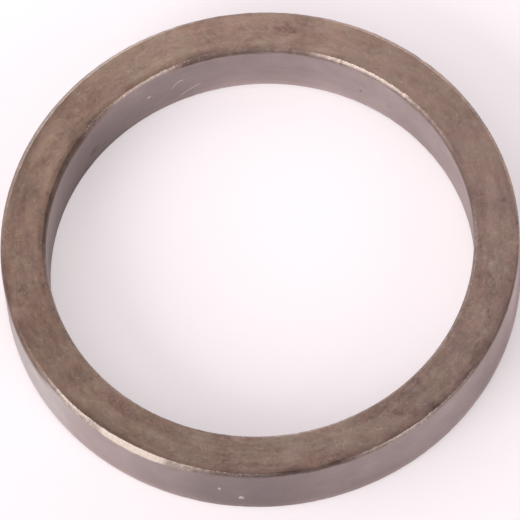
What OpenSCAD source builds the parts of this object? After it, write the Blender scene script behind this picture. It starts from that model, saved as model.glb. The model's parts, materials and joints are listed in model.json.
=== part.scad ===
// Limiter ring: a plain steel stop ring of rectangular section.
// The ring lies flat with its axis along +Z, and its bottom face is at z = 0.

/* [Ring] */
// Diameter of the bore
bore_d = 28; // [10:0.5:60]
// Radial thickness of the wall
wall_t = 3; // [2.2:0.1:10]
// Height between the two ground faces
ring_h = 5; // [2.2:0.1:20]

/* [Edges] */
// Radius of the round on the two outer edges
outer_edge_r = 0.5; // [0.2:0.05:1]
// Radius of the round on the two bore edges
bore_edge_r = 0.5; // [0.2:0.05:1]
// Depth ground off each face after the edges were rounded, which leaves a crisp line there
face_grind = 0.1; // [0:0.01:0.15]

/* [Hidden] */
// Radius of the bore
bore_r = bore_d / 2;
// Radius of the rim
rim_r = bore_r + wall_t;
// Height of the upper faces before they were ground
blank_top = ring_h + face_grind;
// How far a cutting shape runs past the surface that it cuts
overcut = 1;
// Segments of a full turn
$fn = 180;

// The corner that a round of radius r, centred on the origin, leaves outside itself
module edge_cut(r) {
    difference() {
        square(r + overcut);
        circle(r);
    }
}

// Draws its children at the top face and, mirrored about mid-height, at the bottom face
module at_both_faces() {
    children();
    translate([0, ring_h])
        mirror([0, 1])
            children();
}

// Half section of the ring, with the axis at x = 0
module ring_section() {
    difference() {
        translate([bore_r, 0])
            square([wall_t, ring_h]);
        at_both_faces() {
            translate([rim_r - outer_edge_r, blank_top - outer_edge_r])
                edge_cut(outer_edge_r);
            translate([bore_r + bore_edge_r, blank_top - bore_edge_r])
                mirror([1, 0])
                    edge_cut(bore_edge_r);
        }
    }
}

// The ring, turned from its section
module limiter_ring() {
    color([0.58, 0.49, 0.45])
        rotate_extrude()
            ring_section();
}

limiter_ring();
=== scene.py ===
import json
import math
import bpy
import numpy as np
from mathutils import Matrix, Vector


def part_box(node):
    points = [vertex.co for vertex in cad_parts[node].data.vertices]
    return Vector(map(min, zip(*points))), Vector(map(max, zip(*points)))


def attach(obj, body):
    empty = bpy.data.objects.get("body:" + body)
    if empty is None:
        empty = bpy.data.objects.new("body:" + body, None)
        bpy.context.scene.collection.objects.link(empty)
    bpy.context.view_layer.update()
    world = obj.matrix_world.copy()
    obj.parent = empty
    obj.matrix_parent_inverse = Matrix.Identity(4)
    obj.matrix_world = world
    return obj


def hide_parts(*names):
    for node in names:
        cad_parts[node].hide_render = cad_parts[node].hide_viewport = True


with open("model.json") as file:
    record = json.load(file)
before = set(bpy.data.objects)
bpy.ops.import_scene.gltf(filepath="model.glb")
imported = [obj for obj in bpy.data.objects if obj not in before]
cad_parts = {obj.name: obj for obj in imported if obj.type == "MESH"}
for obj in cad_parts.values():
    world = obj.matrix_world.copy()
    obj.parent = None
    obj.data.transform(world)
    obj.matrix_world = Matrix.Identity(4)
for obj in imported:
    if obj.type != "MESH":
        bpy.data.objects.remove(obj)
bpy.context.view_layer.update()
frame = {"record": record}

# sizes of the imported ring, in metres
mm = 0.001
mounts = {mount["name"]: mount for mount in frame["record"]["mounts"]}
ringLow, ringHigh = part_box("limiter_ring")
ringHeight = ringHigh.z - ringLow.z
rimRadius = mounts["rim"]["dims"]["r_mm"] * mm
boreRadius = mounts["bore"]["dims"]["r_mm"] * mm
midRadius = (rimRadius + boreRadius) / 2
topCentre = Vector((0, 0, ringHigh.z))
print(f"frame: ring {2 * rimRadius / mm:.1f} x {2 * boreRadius / mm:.1f} x {ringHeight / mm:.1f} mm")


# camera
camera = {
    "imageSide": 520,        # pixels of the square picture
    "sensor": 36.0,          # mm
    "lens": 547.4,           # mm, a long lens
    "distance": 0.5168,      # metres from the centre of the top face
    "azimuth": 270,          # degrees, from the front
    "elevation": 63.59,      # degrees above the floor
    "roll": 5.757,           # degrees that the ring stands turned in the picture, right side up
    "centreRight": 0.40,     # pixels from the top face's centre to the picture's centre
    "centreDown": 19.73,
    "clip": (0.01, 20),      # nearest and furthest that is drawn, metres
}


# a direction from its azimuth, counter-clockwise from +X, and its elevation, in degrees
def direction(azimuth, elevation):
    turn, rise = math.radians(azimuth), math.radians(elevation)
    return Vector((math.cos(turn) * math.cos(rise), math.sin(turn) * math.cos(rise), math.sin(rise)))


def addCamera(setup):
    back = direction(setup["azimuth"], setup["elevation"])
    right = direction(setup["azimuth"] + 90, 0)
    up = back.cross(right)
    roll = math.radians(setup["roll"])
    camRight = right * math.cos(roll) - up * math.sin(roll)
    camUp = right * math.sin(roll) + up * math.cos(roll)
    pixel = setup["distance"] * setup["sensor"] / setup["lens"] / setup["imageSide"]
    target = topCentre + camRight * setup["centreRight"] * pixel - camUp * setup["centreDown"] * pixel
    data = bpy.data.cameras.new("camera")
    data.sensor_width = setup["sensor"]
    data.lens = setup["lens"]
    data.clip_start, data.clip_end = setup["clip"]
    made = bpy.data.objects.new("camera", data)
    bpy.context.scene.collection.objects.link(made)
    turned = Matrix((camRight, camUp, back)).transposed().to_4x4()
    made.matrix_world = Matrix.Translation(target + back * setup["distance"]) @ turned
    bpy.context.scene.camera = made


addCamera(camera)
print("camera placed")


# sockets of a Mix node that mixes colours: the share, the two colours and the result
mixShare, mixA, mixB, mixResult = 0, 6, 7, 2


# one output socket of a node tree; arithmetic on wires adds Math nodes
class Wire:
    def __init__(self, tree, socket=None):
        self.tree = tree
        self.socket = socket

    # adds a node: settings first, then values or links of its sockets; gives back one output
    def node(self, kind, settings=None, inputs=None, output=0):
        made = self.tree.nodes.new("ShaderNode" + kind)
        for name, value in (settings or {}).items():
            setattr(made, name, value)
        for name, value in (inputs or {}).items():
            if isinstance(value, Wire):
                self.tree.links.new(value.socket, made.inputs[name])
            else:
                made.inputs[name].default_value = value
        return Wire(self.tree, made.outputs[output])

    # another output of the same node
    def other(self, output):
        return Wire(self.tree, self.socket.node.outputs[output])

    def math(self, operation, first, second=0.0):
        return self.node("Math", {"operation": operation}, {0: first, 1: second})

    def __add__(self, value):
        return self.math("ADD", self, value)

    def __radd__(self, value):
        return self.math("ADD", value, self)

    def __sub__(self, value):
        return self.math("SUBTRACT", self, value)

    def __rsub__(self, value):
        return self.math("SUBTRACT", value, self)

    def __mul__(self, value):
        return self.math("MULTIPLY", self, value)

    def __rmul__(self, value):
        return self.math("MULTIPLY", value, self)

    def __truediv__(self, value):
        return self.math("DIVIDE", self, value)

    def __pow__(self, value):
        return self.math("POWER", self, value)

    def __abs__(self):
        return self.math("ABSOLUTE", self)

    # 0 below low, 1 above high, a smooth step between; low may be the larger one
    def step(self, low, high):
        if low > high:
            return 1 - self.step(high, low)
        sockets = {"Value": self, "From Min": low, "From Max": high}
        return self.node("MapRange", {"interpolation_type": "SMOOTHSTEP"}, sockets)

    # amount x how far a noise lies above its middle
    def swing(self, amount):
        return amount * (self - 0.5)

    # the larger of this wire and a value
    def larger(self, value):
        return self.math("MAXIMUM", self, value)

    # colour a where this wire is 0, colour b where it is 1
    def mix(self, a, b, blend="MIX"):
        settings = {"data_type": "RGBA", "blend_type": blend, "clamp_factor": True}
        return self.node("Mix", settings, {mixShare: self, mixA: a, mixB: b}, mixResult)

    # a colour times the colour of this wire
    def tint(self, color):
        settings = {"data_type": "RGBA", "blend_type": "MULTIPLY"}
        return self.node("Mix", settings, {mixShare: 1.0, mixA: color, mixB: self}, mixResult)

    # a colour made lighter or darker by this wire
    def shade(self, color):
        grey = self.node("CombineColor", {}, {"Red": self, "Green": self, "Blue": self})
        return grey.tint(color)

    # a normal that takes this wire as a height
    def bump(self, distance):
        sockets = {"Strength": 1.0, "Distance": distance, "Height": self}
        return self.node("Bump", {}, sockets, "Normal")


# a screen colour of three values up to 255, as the linear colour that the shader takes, by the sRGB curve
def paint(red, green, blue):
    share = np.array((red, green, blue)) / 255
    linear = np.where(share > 0.04045, ((share + 0.055) / 1.055) ** 2.4, share / 12.92)
    return (*linear.tolist(), 1.0)


# empties the node tree of a material or world and gives its first wire
def startTree(owner):
    owner.use_nodes = True
    owner.node_tree.nodes.clear()
    return Wire(owner.node_tree)


# joins a shader to the tree's output node
def finishTree(shader, kind):
    output = shader.tree.nodes.new("ShaderNodeOutput" + kind)
    shader.tree.links.new(shader.socket, output.inputs["Surface"])


# ring
ring = {
    "seed": 41,
    "turnSteps": 900,        # points round the axis
    "wallSteps": 22,         # spans up each wall
    "edgeSteps": 7,          # spans over each rounded edge
    "topSteps": 24,          # spans across the top face
    "bottomSteps": 14,       # spans across the bottom face
    "sharpAngle": 18,        # degrees past which an edge line is drawn crisp
    "faceSink": 0.012 * mm,  # how far a face rolls off towards its edges
    "faceReach": 0.20 * mm,  # and over what width
    # width of an edge round on the face, its drop down the wall and how flat it is worn, 0 to 1,
    # with bells of (azimuth, half width, change)
    "rimEdge": {
        "inset": 0.22 * mm,
        "insetBells": ((48, 38, 0.04 * mm), (142, 45, 0.04 * mm), (235, 10, 0.04 * mm),
                       (270, 16, -0.06 * mm), (328, 36, -0.10 * mm)),
        "drop": 0.38 * mm,
        "dropBells": ((48, 38, -0.22 * mm), (142, 45, -0.24 * mm), (235, 12, 0.30 * mm),
                      (270, 16, -0.12 * mm), (328, 40, -0.17 * mm)),
        "flat": 0.0,
        "flatBells": ((48, 38, 0.9), (142, 48, 1.0), (236, 13, 0.70)),
    },
    "boreEdge": {
        "inset": 0.24 * mm,
        "insetBells": ((119, 15, -0.10 * mm),),
        "drop": 0.38 * mm,
        "dropBells": ((119, 15, -0.28 * mm), (93, 11, -0.09 * mm)),
        "flat": 0.0,
        "flatBells": ((119, 15, 0.6),),
    },
    "lowerEdge": {
        "inset": 0.20 * mm,
        "insetBells": (),
        "drop": 0.36 * mm,
        "dropBells": (),
        "flat": 0.0,
        "flatBells": (),
    },
    "leastInset": 0.05 * mm,
    "leastDrop": 0.08 * mm,
    "insetWaver": 0.006 * mm,    # unevenness of the crisp lines and of the rounds' lower ends
    "dropWaver": 0.012 * mm,
    "waves": (6, 160),       # waves per turn that the unevenness is made of
    "chips": 80,             # nibbles along each crisp line
    "chipDepth": 0.044 * mm,     # of the deepest
    "chipRarity": 3,         # power that makes most of them shallow
    "chipWidth": 0.16 * mm,
    "chipSpread": (0.4, 1.3),    # shares of that width
    # dents in the rim: azimuth, depth below the top face, size
    "dents": ((255.7, 2.25 * mm, 0.15 * mm), (260.3, 3.30 * mm, 0.21 * mm)),
    "dentDepth": 0.05 * mm,
}


# degrees from an azimuth, the short way round
def apart(turn, azimuth):
    return (np.degrees(turn) - azimuth + 180) % 360 - 180


# a bell of height 1 at one azimuth, in degrees: e to the minus squared distance
def bell(turn, azimuth, halfWidth):
    return np.exp(-(apart(turn, azimuth) / halfWidth) ** 2)


# a closed wavering line of spread 1: a sum of sines of many whole waves per turn, with random phases
def waver(turn, random, waves):
    counts = np.arange(*waves)
    phases = random.uniform(0, 2 * np.pi, len(counts))
    return np.sin(np.outer(turn, counts) + phases).sum(1) / math.sqrt(len(counts) / 2)


# depth of the nibbles along a crisp line: a sum of narrow random bells
def nibbles(turn, random, setup):
    count = setup["chips"]
    places = random.uniform(0, 360, count)
    widths = np.degrees(setup["chipWidth"] * random.uniform(*setup["chipSpread"], count) / midRadius)
    depths = setup["chipDepth"] * random.uniform(0, 1, count) ** setup["chipRarity"]
    return (depths * bell(turn[:, None], places, widths)).sum(1)


# width, drop and flatness of one edge round at each azimuth: a level with bells, nibbles and a waver
def edgeSize(turn, random, edge, setup):
    sizes = {}
    for name in ("inset", "drop", "flat"):
        sizes[name] = np.full_like(turn, edge[name])
        for azimuth, halfWidth, change in edge[name + "Bells"]:
            sizes[name] += change * bell(turn, azimuth, halfWidth)
    nibble = nibbles(turn, random, setup)
    inset = sizes["inset"] + setup["insetWaver"] * waver(turn, random, setup["waves"]) + nibble
    drop = sizes["drop"] + setup["dropWaver"] * waver(turn, random, setup["waves"]) + nibble
    flat = np.clip(sizes["flat"], 0, 1)
    return np.maximum(inset, setup["leastInset"]), np.maximum(drop, setup["leastDrop"]), flat


# an edge round, from the wall up to the face: at each share of its height it lies inset x share to a power in
# from the wall, and the power is 2 for a round that starts along the wall and 1 for a flat facet;
# gives depth in from the wall, depth below the face and length along the round
def edgeArc(inset, drop, flat, steps):
    share = np.linspace(0, 1, steps + 1)
    inward = inset[:, None] * share ** (2 - flat[:, None])
    down = drop[:, None] * (1 - share)
    spans = np.hypot(np.diff(inward, axis=1), np.diff(down, axis=1))
    length = np.concatenate([np.zeros((len(inset), 1)), np.cumsum(spans, axis=1)], axis=1)
    return inward, down, length


# a wall from mid-height with the edge round over it, at each azimuth: the round's width, the depth in from
# the wall, the depth below the face's plane and the length up from the wall's end, negative on the wall
def edgeStrip(turn, random, edge, setup):
    inset, drop, flat = edgeSize(turn, random, edge, setup)
    arcIn, arcDown, arcLength = edgeArc(inset, drop, flat, setup["edgeSteps"])
    wallEnd = drop[:, None] + setup["faceSink"]
    up = np.linspace(0, 1, setup["wallSteps"] // 2 + 1)[:-1]
    wallDepth = ringHeight / 2 + (wallEnd - ringHeight / 2) * up
    inward = np.concatenate([np.zeros_like(wallDepth), arcIn], axis=1)
    depth = np.concatenate([wallDepth, arcDown + setup["faceSink"]], axis=1)
    reach = np.concatenate([wallEnd - wallDepth, arcLength], axis=1)
    return inset[:, None], inward, depth, reach


# half of the section, from mid-height of the rim over one face to mid-height of the bore, at each azimuth;
# the face rolls off by e to the minus distance from each crisp line; gives the radius, the depth below the
# face's plane and, for the finish, the length up from the wall's end, the distance from the nearest crisp
# line, negative off the face, and the length along the section from the rim's crisp line
def halfSection(turn, random, setup, rimEdge, boreEdge, faceSteps):
    rimInset, rimIn, rimDepth, rimReach = edgeStrip(turn, random, rimEdge, setup)
    boreInset, boreIn, boreDepth, boreReach = edgeStrip(turn, random, boreEdge, setup)
    rimLine = rimReach - rimReach[:, -1:]
    boreLine = boreReach - boreReach[:, -1:]

    width = rimRadius - boreRadius - rimInset - boreInset
    fromRim = width * np.linspace(0, 1, faceSteps + 1)[1:-1]
    fromBore = width - fromRim
    near = np.minimum(fromRim, fromBore)
    rollOff = np.exp(-fromRim / setup["faceReach"]) + np.exp(-fromBore / setup["faceReach"])

    # rim, face, and bore from its crisp line down
    strips = {
        "radius": (rimRadius - rimIn, rimRadius - rimInset - fromRim, (boreRadius + boreIn)[:, ::-1]),
        "depth": (rimDepth, setup["faceSink"] * rollOff, boreDepth[:, ::-1]),
        "filmReach": (rimReach, rimReach[:, -1:] + near, boreReach[:, ::-1]),
        "lineDistance": (rimLine, near, boreLine[:, ::-1]),
        "acrossFace": (rimLine, fromRim, (width - boreLine)[:, ::-1]),
    }
    return {name: np.concatenate(rows, axis=1) for name, rows in strips.items()}


# depth of the rim's dents at each point: bells round their centres, only on the rim
def dentDepth(turn, radius, height, setup):
    sunk = np.zeros_like(radius)
    for azimuth, down, size in setup["dents"]:
        along = np.radians(apart(turn, azimuth))[:, None] * rimRadius
        away = (along ** 2 + (height - ringHigh.z + down) ** 2) / size ** 2
        sunk += setup["dentDepth"] * np.exp(-away) * (radius > midRadius)
    return sunk


# a mesh from a grid of points that closes on itself both ways
def closedGridMesh(name, points, attributes):
    rows, columns = points.shape[:2]
    index = np.arange(rows * columns).reshape(rows, columns)
    right = np.roll(index, -1, axis=1)
    ahead = np.roll(index, -1, axis=0)
    corner = np.roll(ahead, -1, axis=1)
    faces = np.stack([index, right, corner, ahead], axis=2).reshape(-1, 4)
    mesh = bpy.data.meshes.new(name)
    mesh.from_pydata(points.reshape(-1, 3), [], faces[:, ::-1])
    for label, values in attributes.items():
        layer = mesh.attributes.new(label, "FLOAT", "POINT")
        layer.data.foreach_set("value", values.astype(np.float32).ravel())
    mesh.update()
    made = bpy.data.objects.new(name, mesh)
    bpy.context.scene.collection.objects.link(made)
    return made


# the ring: its section, which changes a little with azimuth, carried round the axis
def addRing(setup):
    random = np.random.default_rng(setup["seed"])
    turn = np.linspace(0, 2 * np.pi, setup["turnSteps"], endpoint=False)
    top = halfSection(turn, random, setup, setup["rimEdge"], setup["boreEdge"], setup["topSteps"])
    lowerEdge = setup["lowerEdge"]
    bottom = halfSection(turn, random, setup, lowerEdge, lowerEdge, setup["bottomSteps"])
    # the bottom runs back up the rim, without the mid-height points that it shares with the top
    bottom = {name: rows[:, -2:0:-1] for name, rows in bottom.items()}
    whole = {name: np.concatenate([top[name], bottom[name]], axis=1) for name in top}
    height = np.concatenate([ringHigh.z - top["depth"], ringLow.z + bottom["depth"]], axis=1)
    radius = whole["radius"] - dentDepth(turn, whole["radius"], height, setup)
    points = np.stack([radius * np.cos(turn)[:, None], radius * np.sin(turn)[:, None], height], axis=2)
    layers = {name: whole[name] / mm for name in ("filmReach", "lineDistance", "acrossFace")}
    made = closedGridMesh("limiter_ring_worn", points, layers)
    made.data.shade_smooth()
    made.data.set_sharp_from_angle(angle=math.radians(setup["sharpAngle"]))
    return made


ringPiece = addRing(ring)
print(f"ring mesh: {2 * len(ringPiece.data.polygons)} triangles")


# what the ring's finish goes by; here and in the finishes below, lengths are in mm and angles in degrees
pattern = {
    "bottomShift": 60.0,     # keeps the bottom's noises apart from the top's
    # half widths of the changes from upper to lower half, from rim to bore and from face to edge
    "halfBlend": 0.05,
    "sideBlend": 0.10,
    "lineBlend": 0.02,
    "sectorFade": (0.5, 1.5),    # shares of a sector's half angle between which it fades out
    "nearSide": 10.0,        # distance from the axis at which one side of a wall begins
    # noises on the surface: size across the section, stretch round the ring, detail, roughness
    "patches": (3.2, 1.6, 6.0, 0.79),
    "hues": (1.088, 1.4, 4.0, 0.75),
    "veins": (0.62, 1.6, 2.0, 0.5),
    "breaks": (0.496, 1.0, 1.0, 0.5),
    "streaks": (0.5, 5.0, 2.0, 0.6),
    # noises in space: waves per mm, detail, roughness
    "grain": (5.0, 2.0, 0.6),
    "fine": (14.0, 2.0, 0.5),
    "clouds": (0.45, 4.0, 0.6),
}


# a point of the ring as wires: where it lies, which parts of the ring it is on, and the noises there
class RingPlace:
    def __init__(self, start, setup):
        self.start = start
        self.setup = setup
        metres = start.node("TexCoord", output="Object")
        self.point = start.node("VectorMath", {"operation": "SCALE"}, {0: metres, "Scale": 1 / mm})
        level = start.node("VectorMath", {"operation": "MULTIPLY"}, {0: self.point, 1: (1, 1, 0)})
        radius = start.node("VectorMath", {"operation": "LENGTH"}, {0: level}, "Value")
        self.outward = start.node("VectorMath", {"operation": "NORMALIZE"}, {0: level})
        self.depth = ringHigh.z / mm - start.node("SeparateXYZ", {}, {0: self.point}, "Z")
        self.film = self.attribute("filmReach")
        self.line = self.attribute("lineDistance")

        half, middle = ringHeight / mm / 2, midRadius / mm
        self.upper = self.depth.step(half + setup["halfBlend"], half - setup["halfBlend"])
        self.onRim = radius.step(middle - setup["sideBlend"], middle + setup["sideBlend"])
        self.onFace = self.line.step(-setup["lineBlend"], setup["lineBlend"])
        self.across = self.attribute("acrossFace") + setup["bottomShift"] * (1 - self.upper)

        self.patches = self.surfaceNoise(*setup["patches"])
        self.hues = self.surfaceNoise(*setup["hues"])
        self.veins = self.surfaceNoise(*setup["veins"])
        self.breaks = self.surfaceNoise(*setup["breaks"])
        self.streaks = self.surfaceNoise(*setup["streaks"])
        self.grain = self.noise(self.point, *setup["grain"])
        self.fine = self.noise(self.point, *setup["fine"])
        self.clouds = self.noise(self.point, *setup["clouds"])

    def attribute(self, name):
        return self.start.node("Attribute", {"attribute_name": name}, output="Fac")

    def dot(self, first, second):
        return self.start.node("VectorMath", {"operation": "DOT_PRODUCT"}, {0: first, 1: second}, "Value")

    def noise(self, where, scale, detail, roughness):
        sockets = {"Vector": where, "Scale": scale, "Detail": detail, "Roughness": roughness}
        return self.start.node("TexNoise", {}, sockets)

    # noise that follows the surface: it is read at a radius in the point's direction from the axis, with the
    # length along the section as height
    def surfaceNoise(self, size, stretch, detail, roughness):
        reach = midRadius / mm / size / stretch
        turned = self.start.node("VectorMath", {"operation": "SCALE"}, {0: self.outward, "Scale": reach})
        lift = self.start.node("CombineXYZ", {}, {"Z": self.across / size})
        where = self.start.node("VectorMath", {"operation": "ADD"}, {0: turned, 1: lift})
        return self.noise(where, 1.0, detail, roughness)

    # 1 near an azimuth, 0 away from it: a smooth step in the cosine of the angle between
    def sector(self, azimuth, halfAngle):
        inner, outer = (math.cos(math.radians(halfAngle * share)) for share in self.setup["sectorFade"])
        return self.dot(self.outward, tuple(direction(azimuth, 0))).step(outer, inner)

    # 1 at the rim, or else at the bore
    def side(self, rim):
        return self.onRim if rim else 1 - self.onRim

    # a sector of the rim, or else of the bore
    def stretch(self, azimuth, halfAngle, rim):
        return self.sector(azimuth, halfAngle) * self.side(rim)

    # length round the ring from an azimuth
    def roundFrom(self, azimuth):
        return self.dot(self.point, tuple(direction(azimuth + 90, 0)))

    # length out from a point at an azimuth and radius
    def outFrom(self, azimuth, radius):
        return self.dot(self.point, tuple(direction(azimuth, 0))) - radius

    # 1 on the side of a wall that lies towards an azimuth
    def wall(self, azimuth, rim):
        return self.outFrom(azimuth, self.setup["nearSide"]).step(0, 1) * self.side(rim)


# 1 at the centre of an ellipse, 0 outside it
def ellipse(along, halfLength, over, halfWidth):
    return ((along / halfLength) ** 2 + (over / halfWidth) ** 2).step(1.0, 0.0)


# brown film on the faces
faceFinish = {
    "olive": paint(141, 123, 110),
    "rose": paint(148, 121, 111.5),
    # how far it turns from olive to rose: with a fine noise, with a broad one, and where it is dark
    "roseFine": 2.3,
    "roseBroad": 1.3,
    "roseDark": 1.4,
    "warmth": 0.38,          # how strongly its blue goes up and down
    "warmGreen": 0.35,       # share of that in its green
    "coolSide": 340,         # azimuth of the side where it is bluer, and how much
    "coolCast": 0.046,
    "roughness": 0.46,
    "roughSwing": 0.12,      # how far the grain changes that, on the edges too
    # how strongly each noise mottles it
    "mottle": {"patches": 1.7, "streaks": 0.55, "grain": 0.25, "veins": 0.18},
    # the same for its relief, then the share of relief left on the edges, and the full height
    "relief": {"patches": 0.5, "grain": 0.35, "fine": 0.05, "veins": 0.15},
    "edgeRelief": 0.1,
    "reliefHeight": 0.024 * mm,
    # veins: their half width in values of their noise; the value that they follow, and the values of the
    # noise that breaks them at which they are gone and whole
    "veinWidth": 0.05,
    "lightVeins": (0.50, 0.48, 0.60),
    "darkVeins": (0.60, 0.52, 0.40),
    # flecks: half length and half width where a stroke ends and where it is full, the range of its turn in
    # radians, its bend, the chance values at which a cell has none and one, and how much lighter it is
    "flecks": {"cell": 1.0, "halfLength": (0.26, 0.078), "halfWidth": (0.0544, 0.0136), "turn": 3.0,
               "bend": 1.6, "chance": (0.45, 0.55), "light": 0.17},
    # where it is more mottled, and where it is lighter: azimuth, half angle, change
    "contrasts": ((300, 50, 0.35), (30, 34, -0.25)),
    "tones": ((147, 14, -0.16), (188, 15, -0.13), (212, 10, 0.05), (256, 20, 0.06), (75, 20, 0.04),
              (345, 25, -0.03)),
    # stains on the top: azimuth, radius, half length, half width, how much darker, below 0 for a light one
    "stains": ((78.5, 15.55, 0.95, 0.50, 0.34), (160.5, 15.64, 0.85, 0.45, 0.12),
               (186.5, 15.80, 1.00, 0.50, 0.32), (226.0, 14.80, 1.70, 0.55, 0.28),
               (5.0, 14.75, 1.80, 0.45, 0.18), (322.0, 15.90, 2.20, 0.40, 0.18),
               (108.0, 15.35, 1.00, 0.50, 0.20), (349.0, 14.95, 1.00, 0.50, 0.14),
               (257.0, 15.35, 1.00, 0.50, -0.12), (137.0, 15.25, 1.00, 0.55, -0.10)),
    "stainRound": 1.6,       # how far a stain's outline wanders round the ring and out from it
    "stainOut": 0.9,
    "stainGrain": (0.35, 0.60),    # values of the grain at which a stain is open and full
    # bands along a crisp line of the top, partly darker film and partly painted shade, with one band of
    # painted light where how much darker is below 0: azimuth, half angle, width, how much darker, at the rim
    "filmShadeAndLightBands": ((230, 17, 0.42, 0.25, True), (224, 13, 0.95, 0.20, True), (274, 10, 0.14, 0.48, True),
                (301, 12, 0.80, 0.37, True), (267, 8, 0.60, 0.21, True), (331, 12, 1.00, 0.26, True),
                (143, 9, 0.90, 0.30, True), (261, 7, 0.10, 0.30, True), (157, 25, 0.52, 0.25, False),
                (110, 13, 0.66, 0.33, False), (129, 8, 0.50, 0.15, False), (8, 14, 0.35, 0.15, False),
                (76, 13, 0.46, 0.20, False), (180, 10, 0.45, 0.15, True), (75, 9, 0.60, -0.14, True)),
    "borderRagged": 0.3,     # how far a border's outline wanders
    # light nicks in the top: azimuth, radius, half length, half width
    "nicks": ((16, 15.4, 0.13, 0.06), (173.5, 15.8, 0.04, 0.45), (175, 16.0, 0.10, 0.07),
              (214.5, 15.2, 0.10, 0.06), (296, 15.1, 0.10, 0.05), (328, 15.3, 0.12, 0.05)),
    "nickLight": 0.40,       # how much lighter a nick is
}


# thin winding lines where a noise crosses one value, broken by another noise
def veinLines(at, width, follow, gone, whole):
    return abs(at.veins - follow).step(width, 0.0) * at.breaks.step(gone, whole)


# a short bent stroke in some cells of a Voronoi pattern, turned at random from the way round the ring
def fleckStrokes(at, setup):
    start, cell = at.start, setup["cell"]
    cells = start.node("VectorMath", {"operation": "SCALE"}, {0: at.point, "Scale": 1 / cell})
    centre = start.node("TexVoronoi", {"feature": "F1"}, {"Vector": cells, "Scale": 1.0}, "Position")
    chance = start.node("SeparateColor", {}, {0: centre.other("Color")}, "Red")
    local = start.node("VectorMath", {"operation": "SUBTRACT"}, {0: cells, 1: centre})
    way = start.node("VectorMath", {"operation": "CROSS_PRODUCT"}, {0: (0, 0, 1), 1: at.outward})
    out, along = at.dot(local, at.outward) * cell, at.dot(local, way) * cell
    turn = chance.swing(setup["turn"])
    cosine, sine = start.math("COSINE", turn), start.math("SINE", turn)
    onStroke, offStroke = along * cosine + out * sine, out * cosine - along * sine
    length = abs(onStroke).step(*setup["halfLength"])
    width = abs(offStroke + setup["bend"] * onStroke * onStroke).step(*setup["halfWidth"])
    return chance.other("Green").step(*setup["chance"]) * length * width


# lightness of the film, 1 in the middle, with painted shade and light along some crisp lines
def filmTone(at, setup, lightVein, darkVein):
    weight = setup["mottle"]
    mottle = at.patches.swing(weight["patches"]) + at.streaks.swing(weight["streaks"])
    mottle = mottle + at.grain.swing(weight["grain"]) + weight["veins"] * (lightVein - darkVein)
    contrast = 1.0
    for azimuth, halfAngle, change in setup["contrasts"]:
        contrast = contrast + change * at.sector(azimuth, halfAngle)
    tone = 1 + mottle * contrast
    for azimuth, halfAngle, change in setup["tones"]:
        tone = tone + change * at.sector(azimuth, halfAngle)
    for azimuth, radius, halfLong, halfWide, strength in setup["stains"]:
        along = at.roundFrom(azimuth) + at.veins.swing(setup["stainRound"])
        over = at.outFrom(azimuth, radius) + at.patches.swing(setup["stainOut"])
        spot = ellipse(along, halfLong, over, halfWide) * at.grain.step(*setup["stainGrain"])
        tone = tone * (1 - strength * at.upper * spot)
    # darker film and painted shade along the crisp lines, and painted light in one band
    for azimuth, halfAngle, width, strength, rim in setup["filmShadeAndLightBands"]:
        border = (at.line + at.streaks.swing(setup["borderRagged"])).step(width, 0.0)
        tone = tone * (1 - strength * border * at.stretch(azimuth, halfAngle, rim) * at.upper)
    tone = tone + setup["flecks"]["light"] * fleckStrokes(at, setup["flecks"])
    for azimuth, radius, halfLong, halfWide in setup["nicks"]:
        spot = ellipse(at.roundFrom(azimuth), halfLong, at.outFrom(azimuth, radius), halfWide)
        tone = tone + setup["nickLight"] * at.upper * spot
    return tone


# colour of the film, between olive and rose, times its tone
def filmColor(at, setup, tone):
    redness = at.start.node("SeparateColor", {}, {0: at.hues.other("Color")}, "Red")
    broad = at.start.node("SeparateColor", {}, {0: at.patches.other("Color")}, "Green")
    rose = 0.5 + redness.swing(setup["roseFine"]) + broad.swing(setup["roseBroad"])
    rose = rose - setup["roseDark"] * (tone - 1)
    cool = redness.other("Green").swing(setup["warmth"])
    cast = setup["coolCast"] * at.dot(at.outward, tuple(direction(setup["coolSide"], 0)))
    tint = at.start.node("CombineColor", {}, {
        "Red": tone, "Green": tone * (1 + setup["warmGreen"] * cool), "Blue": tone * (1 + cool + cast)})
    return tint.tint(rose.mix(setup["olive"], setup["rose"]))


# film on the edges: dull, burnished in some stretches and worn bare in others
edgeFinish = {
    "dull": paint(143, 125, 117),
    "dullShare": 0.6,        # share of that colour over the film's own
    "burnished": paint(151, 134.5, 128),
    "bareSteel": paint(255, 242, 226),
    "burnishedGrain": 1.0,   # how strongly the grain marks each
    "bareGrain": 0.4,
    "dullRoughness": 0.60,
    "burnishedRoughness": 0.46,
    "bareRoughness": 0.36,
    # where the upper edges are burnished, and where they are bare: azimuth, half angle, strength, at the rim
    "worn": ((220, 9, 1.0, True), (247, 7, 0.65, True), (261, 8, 0.36, True), (301, 13, 0.9, True),
             (314, 6, 0.7, True), (55, 13, 1.0, False), (33, 9, 0.3, False), (118, 10, 1.0, False),
             (134, 6, 0.50, False), (104, 6, 0.34, False)),
    "bare": ((235, 7.5, 1.0, True), (222, 8, 0.42, True), (246, 4, 0.34, True), (300, 6, 0.28, True),
             (136, 36, 0.39, True), (34, 38, 0.39, True), (118, 9, 0.41, False), (205, 30, 0.30, False),
             (300, 44, 0.28, False), (346, 16, 0.30, False)),
    "lowerWorn": 0.35,       # how far the lower edges are burnished, all round
    "wornRagged": 0.5,       # how far grain and patches make the borders of both ragged
    "bareRagged": 0.3,
    "wornSteps": (0.15, 0.65),    # strengths at which an edge starts to be burnished or bare, and is fully so
    "bareSteps": (0.10, 0.90),
    # where an upper edge is browner: azimuth, half angle, at the rim
    "tanned": ((120, 18, False), (38, 38, True), (173, 22, True)),
    "tan": paint(255, 243, 240),
    "glintSteps": (0.46, 0.66),    # values of the fine noise between which bare glints show
    "glintReach": 0.05,      # and how far from the crisp line
}


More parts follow.
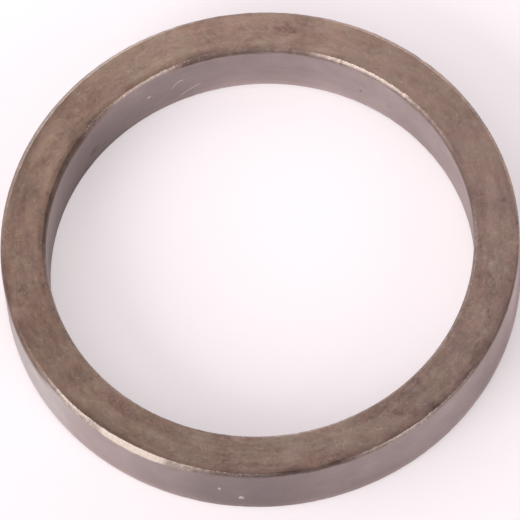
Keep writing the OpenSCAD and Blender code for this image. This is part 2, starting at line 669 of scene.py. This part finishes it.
# the strongest of some stretches of the upper edges
def scuffs(at, stretches):
    most = 0.0
    for azimuth, halfAngle, strength, rim in stretches:
        most = (strength * at.stretch(azimuth, halfAngle, rim)).larger(most)
    return most * at.upper


# colour of the edges, from the shares of them that are burnished and bare
def edgeColor(at, setup, faceColor, tone, burnished, bare):
    color = at.start.node("Mix", {"data_type": "RGBA"}, {
        mixShare: setup["dullShare"], mixA: faceColor, mixB: tone.shade(setup["dull"])}, mixResult)
    burnishedTone = 1 + at.grain.swing(setup["burnishedGrain"])
    color = burnished.mix(color, burnishedTone.shade(setup["burnished"]))
    bareTone = 1 + at.grain.swing(setup["bareGrain"])
    color = bare.mix(color, bareTone.shade(setup["bareSteel"]))
    for azimuth, halfAngle, rim in setup["tanned"]:
        browner = at.stretch(azimuth, halfAngle, rim) * at.upper
        color = browner.mix(color, setup["tan"], "MULTIPLY")
    return color


# the film of faces and edges together
def filmShader(at, face, edge):
    lightVein = veinLines(at, face["veinWidth"], *face["lightVeins"])
    darkVein = veinLines(at, face["veinWidth"], *face["darkVeins"])
    tone = filmTone(at, face, lightVein, darkVein)
    faceColor = filmColor(at, face, tone)

    worn = scuffs(at, edge["worn"]) + edge["lowerWorn"] * (1 - at.upper)
    ragged = at.grain + at.patches - 1
    burnished = (worn + edge["wornRagged"] * ragged).step(*edge["wornSteps"])
    bare = (scuffs(at, edge["bare"]) + edge["bareRagged"] * ragged).step(*edge["bareSteps"])
    color = at.onFace.mix(edgeColor(at, edge, faceColor, tone, burnished, bare), faceColor)
    glint = worn * at.fine.step(*edge["glintSteps"]) * abs(at.line).step(edge["glintReach"], 0.0)
    color = glint.mix(color, edge["bareSteel"])

    rough = edge["dullRoughness"] + (edge["burnishedRoughness"] - edge["dullRoughness"]) * burnished
    rough = rough + (edge["bareRoughness"] - rough) * bare
    rough = rough + (face["roughness"] - rough) * at.onFace + at.grain.swing(face["roughSwing"])

    weight = face["relief"]
    relief = weight["patches"] * at.patches + weight["grain"] * at.grain
    relief = relief + weight["fine"] * at.fine + weight["veins"] * lightVein
    relief = relief * (face["edgeRelief"] + (1 - face["edgeRelief"]) * at.onFace)
    return at.start.node("BsdfPrincipled", {}, {
        "Base Color": color, "Metallic": 1.0, "Roughness": rough,
        "Normal": relief.bump(face["reliefHeight"])})


# finely ground walls
wallFinish = {
    "steel": paint(164, 151, 149),
    # painted light: the rim's left side in a paler, less red steel, where it mirrors the brightly lit floor
    "paintedLightSteel": paint(166, 161, 159),
    "paintedLightSide": (203, 12),       # where the rim is paler and less red: azimuth, half angle
    "roughness": 0.46,
    "gloss": 0.72,           # how much longer the gloss is across the grinding lines than along them
    "glossTurn": 0.25,       # turns that put it across
    # grinding lines: waves per mm along and across them, detail, roughness
    "grinding": {"along": 0.12, "across": 6.25, "detail": 3.0, "roughness": 0.7},
    "grindingHeight": 0.003 * mm,
    "grindingTone": 0.20,    # how strongly the lines, and broad clouds, change the tone
    "cloudTone": 0.45,
    # painted light and shade: where a wall is lighter, and darker below 0, for the light that falls on it and
    # the floor that it mirrors: azimuth, half angle, change, on the rim
    "tones": ((203, 15, 0.34, True), (229, 6, 0.07, True), (242, 12, -0.06, True), (271, 8, -0.05, True),
              (312, 9, 0.09, True), (338, 11, 0.15, True), (348, 10, 0.29, True), (86, 14, 0.11, False),
              (20, 14, 0.15, False), (55, 12, 0.06, False), (158, 8, 0.12, False)),
    # painted reflection of the bright floor: where a wall lightens towards its foot: azimuth, half angle,
    # depth where that starts, change, on the rim
    "paintedFootLight": ((270, 60, 4.0, 0.22, True), (332, 16, 3.7, 0.22, True), (81, 19, 2.3, 0.22, False),
             (70, 40, 4.0, 0.16, False)),
    # depth where the painted reflection of the floor is lightest
    "paintedFootLightEnd": 4.7,          # depth where it is lightest
    # dark smudges, the two broad ones at 143 and 260 degrees being painted shade where a wall mirrors shaded
    # floor: azimuth, depth below the top, half length, half height, on the rim, how much darker
    "smudgesAndPaintedShade": ((137.3, 3.29, 0.62, 0.45, False, 0.30), (56.8, 2.88, 0.12, 0.20, False, 0.50),
                (47.9, 3.00, 0.34, 0.12, False, 0.22), (143.0, 3.40, 6.5, 5.0, False, 0.22),
                (260.0, 2.50, 5.0, 6.0, True, 0.12)),
    "scored": paint(232, 222, 218),    # fresh marks
    # scratches of the bore: azimuth, depth below the top, length round the bore, fall, bend, half width
    "scratches": ((106.2, 2.09, 1.04, -0.60, 1.42, 0.036), (101.8, 3.29, 1.58, 0.55, 0.30, 0.034)),
    "scratchStart": (-0.05, 0.12),    # shares of its length over which a scratch comes in and goes out
    "scratchEnd": (1.05, 0.85),
    "scratchSoft": (1.8, 0.3),    # shares of its half width where it has faded and where it is full
    "scratchLeast": 0.5,     # its strength where the fine noise is 0, and what that noise adds
    "scratchFine": 0.9,
    # specks: azimuth, depth below the top, half length, half height, on the rim
    "specks": ((255.7, 2.25, 0.13, 0.22, True), (260.3, 3.32, 0.24, 0.26, True),
               (117.0, 2.20, 0.20, 0.13, False)),
    "speckRagged": 0.25,     # how far a speck's outline wanders
    "speckDroop": 0.6,       # how far its ends hang down
    "speckLight": 0.85,      # its strength
}


# fresh marks: scratches, each a bent line down the wall with faded ends, and drooping specks
def wallMarks(at, setup):
    marks = 0.0
    for azimuth, down, length, fall, bend, halfWide in setup["scratches"]:
        share = at.roundFrom(azimuth) / length
        course = down + fall * share + bend * share * share
        faded, full = (halfWide * part for part in setup["scratchSoft"])
        trace = abs(at.depth - course).step(faded, full) * at.wall(azimuth, False)
        ends = share.step(*setup["scratchStart"]) * share.step(*setup["scratchEnd"])
        strength = setup["scratchLeast"] + setup["scratchFine"] * at.fine
        marks = (trace * ends * strength).larger(marks)
    for azimuth, down, halfLong, halfHigh, rim in setup["specks"]:
        along = at.roundFrom(azimuth) + at.fine.swing(setup["speckRagged"])
        over = at.depth - down - setup["speckDroop"] * abs(along)
        spot = ellipse(along, halfLong, over, halfHigh) * at.wall(azimuth, rim)
        marks = (setup["speckLight"] * spot).larger(marks)
    return marks


# ground steel, with its lines, smudges and fresh marks, and light and shade painted into its tone and colour
def wallShader(at, setup):
    grind = setup["grinding"]
    waves = (grind["along"], grind["along"], grind["across"])
    lines = at.start.node("VectorMath", {"operation": "MULTIPLY"}, {0: at.point, 1: waves})
    grinding = at.noise(lines, 1.0, grind["detail"], grind["roughness"])
    tone = 1 + grinding.swing(setup["grindingTone"]) + at.clouds.swing(setup["cloudTone"])
    # painted light and shade round the walls
    for azimuth, halfAngle, change, rim in setup["tones"]:
        tone = tone * (1 + change * at.stretch(azimuth, halfAngle, rim))
    # painted reflection of the bright floor near each wall's foot
    for azimuth, halfAngle, down, change, rim in setup["paintedFootLight"]:
        footLight = at.depth.step(down, setup["paintedFootLightEnd"]) * at.stretch(azimuth, halfAngle, rim)
        tone = tone * (1 + change * footLight)
    # smudges, and painted shade in the two broad ones
    for azimuth, down, halfLong, halfHigh, rim, strength in setup["smudgesAndPaintedShade"]:
        spot = ellipse(at.roundFrom(azimuth), halfLong, at.depth - down, halfHigh)
        tone = tone * (1 - strength * spot * at.wall(azimuth, rim))
    # painted light on the rim's left side
    steel = at.stretch(*setup["paintedLightSide"], True).mix(setup["steel"], setup["paintedLightSteel"])
    color = wallMarks(at, setup).mix(tone.shade(steel), setup["scored"])
    return at.start.node("BsdfPrincipled", {}, {
        "Base Color": color, "Metallic": 1.0, "Roughness": setup["roughness"],
        "Anisotropic": setup["gloss"], "Anisotropic Rotation": setup["glossTurn"],
        "Normal": grinding.bump(setup["grindingHeight"])})


# where the film ends on the walls
coverFinish = {
    "patches": 0.25,         # how far patches and grain move the film's end
    "grain": 0.12,
    "width": 0.22,           # over which the film gets whole
    # film that spills down the walls: azimuth, half angle, depth below the edge, on the rim
    "spills": ((200, 9, 0.90, True), (97, 12, 0.25, False), (152, 16, 0.28, False)),
    "spillRagged": 0.3,      # how far a spill's outline wanders
}


# 1 where film covers the steel, 0 on the open walls
def filmCover(at, setup):
    reach = at.film + at.patches.swing(setup["patches"]) + at.grain.swing(setup["grain"])
    covered = reach.step(0.0, setup["width"])
    for azimuth, halfAngle, down, rim in setup["spills"]:
        spill = (at.film + at.patches.swing(setup["spillRagged"])).step(-down, 0.0)
        covered = (spill * at.stretch(azimuth, halfAngle, rim) * at.upper).larger(covered)
    return covered


# the ring's steel: ground walls under a film that covers edges and faces
def ringSteel():
    material = bpy.data.materials.new("ringSteel")
    start = startTree(material)
    at = RingPlace(start, pattern)
    covered = filmCover(at, coverFinish)
    steel = wallShader(at, wallFinish)
    film = filmShader(at, faceFinish, edgeFinish)
    finishTree(start.node("MixShader", {}, {0: covered, 1: steel, 2: film}), "Material")
    return material


ringPiece.data.materials.append(ringSteel())
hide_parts("limiter_ring")
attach(ringPiece, "root")
print("ring finished")


# floor
floor = {
    "halfSide": 3.0,
    "gap": 0.002 * mm,       # clear of the ring's bottom face
    "color": paint(248, 241, 243),
    "roughness": 1.0,
    "white": paint(253, 248, 250),
    "seenWhite": 0.38,       # share of plain white in what the camera sees
    "mirroredWhite": 0.04,   # and in what the metal mirrors
}


# paper that is partly plain white, to the camera and in mirrored views
def palePaper(setup):
    material = bpy.data.materials.new("palePaper")
    start = startTree(material)
    paper = start.node("BsdfDiffuse", {}, {"Color": setup["color"], "Roughness": setup["roughness"]})
    white = start.node("Emission", {}, {"Color": setup["white"], "Strength": 1.0})
    seen = start.node("LightPath", output="Is Camera Ray")
    mirrored = seen.other("Is Glossy Ray").larger(seen.other("Is Transmission Ray"))
    share = setup["seenWhite"] * seen + setup["mirroredWhite"] * mirrored * (1 - seen)
    finishTree(start.node("MixShader", {}, {0: share, 1: paper, 2: white}), "Material")
    return material


def addFloor(setup):
    side, level = setup["halfSide"], ringLow.z - setup["gap"]
    corners = [(-side, -side, level), (side, -side, level), (side, side, level), (-side, side, level)]
    mesh = bpy.data.meshes.new("floor")
    mesh.from_pydata(corners, [], [(0, 1, 2, 3)])
    mesh.materials.append(palePaper(setup))
    made = bpy.data.objects.new("floor", mesh)
    bpy.context.scene.collection.objects.link(made)


addFloor(floor)
print("floor laid")


# light: a dome that is bright overhead and towards the left of the camera, a key light at the left with a
# weaker one beside it, a weak one at the right, a near panel over the back of the ring and a low backdrop
dome = {
    "color": (1.0, 0.93, 0.955, 1.0),
    "seenColor": (1.0, 1.0, 1.0, 1.0),    # what the camera sees of it
    "low": 0.14,             # brightness near the floor
    "top": 1.55,             # brightness overhead, on its bright side
    "lowEnd": 38,            # elevations between which it brightens, degrees
    "topStart": 60,
    "leanAzimuth": 225,      # its bright side
    "leanElevation": 0,
    "leanDark": -0.6,        # cosines from that side where it is dim and where it is full
    "leanFull": 0.5,
}

# panels: place seen from the ring, size in metres, radiance, and whether one lies flat or faces the ring
panels = {
    "key": {"azimuth": 219, "elevation": 29, "distance": 0.5,
            "width": 0.28, "height": 0.24, "radiance": 7.2, "flat": False},
    "side": {"azimuth": 182, "elevation": 28, "distance": 0.5,
             "width": 0.26, "height": 0.24, "radiance": 2.8, "flat": False},
    "fill": {"azimuth": 312, "elevation": 31, "distance": 0.5,
             "width": 0.24, "height": 0.20, "radiance": 3.4, "flat": False},
    "panel": {"azimuth": 90, "elevation": 30, "distance": 0.154,
              "width": 0.26, "height": 0.20, "radiance": 0.85, "flat": True},
    "backdrop": {"azimuth": 100, "elevation": 9, "distance": 0.5,
                 "width": 0.80, "height": 0.20, "radiance": 1.0, "flat": False},
}


# the sky: a smooth step in elevation times a smooth step towards its bright side; white where it is seen
def addDome(setup):
    world = bpy.data.worlds.new("dome")
    bpy.context.scene.world = world
    start = startTree(world)
    towards = start.node("TexCoord", output="Generated")
    rise = start.node("SeparateXYZ", {}, {0: towards}, "Z")
    lowEnd, topStart = math.sin(math.radians(setup["lowEnd"])), math.sin(math.radians(setup["topStart"]))
    axis = tuple(direction(setup["leanAzimuth"], setup["leanElevation"]))
    lean = start.node("VectorMath", {"operation": "DOT_PRODUCT"}, {0: towards, 1: axis}, "Value")
    share = rise.step(lowEnd, topStart) * lean.step(setup["leanDark"], setup["leanFull"])
    level = setup["low"] + (setup["top"] - setup["low"]) * share
    seen = start.node("LightPath", output="Is Camera Ray")
    color = seen.mix(setup["color"], setup["seenColor"])
    strength = level * (1 - seen) + seen
    finishTree(start.node("Background", {}, {"Color": color, "Strength": strength}), "World")


# an area light whose watts give it one radiance: radiance x pi x its area
def addPanel(name, setup):
    data = bpy.data.lights.new(name, "AREA")
    data.shape = "RECTANGLE"
    data.size, data.size_y = setup["width"], setup["height"]
    data.energy = setup["radiance"] * math.pi * setup["width"] * setup["height"]
    made = bpy.data.objects.new(name, data)
    bpy.context.scene.collection.objects.link(made)
    towards = direction(setup["azimuth"], setup["elevation"])
    made.location = topCentre + towards * setup["distance"]
    made.rotation_mode = "QUATERNION"
    back = Vector((0, 0, 1)) if setup["flat"] else towards
    made.rotation_quaternion = back.to_track_quat("Z", "Y")
    made.visible_camera = False


addDome(dome)
for name, setup in panels.items():
    addPanel(name, setup)
bpy.context.scene.view_settings.view_transform = "Standard"
print("lights set")
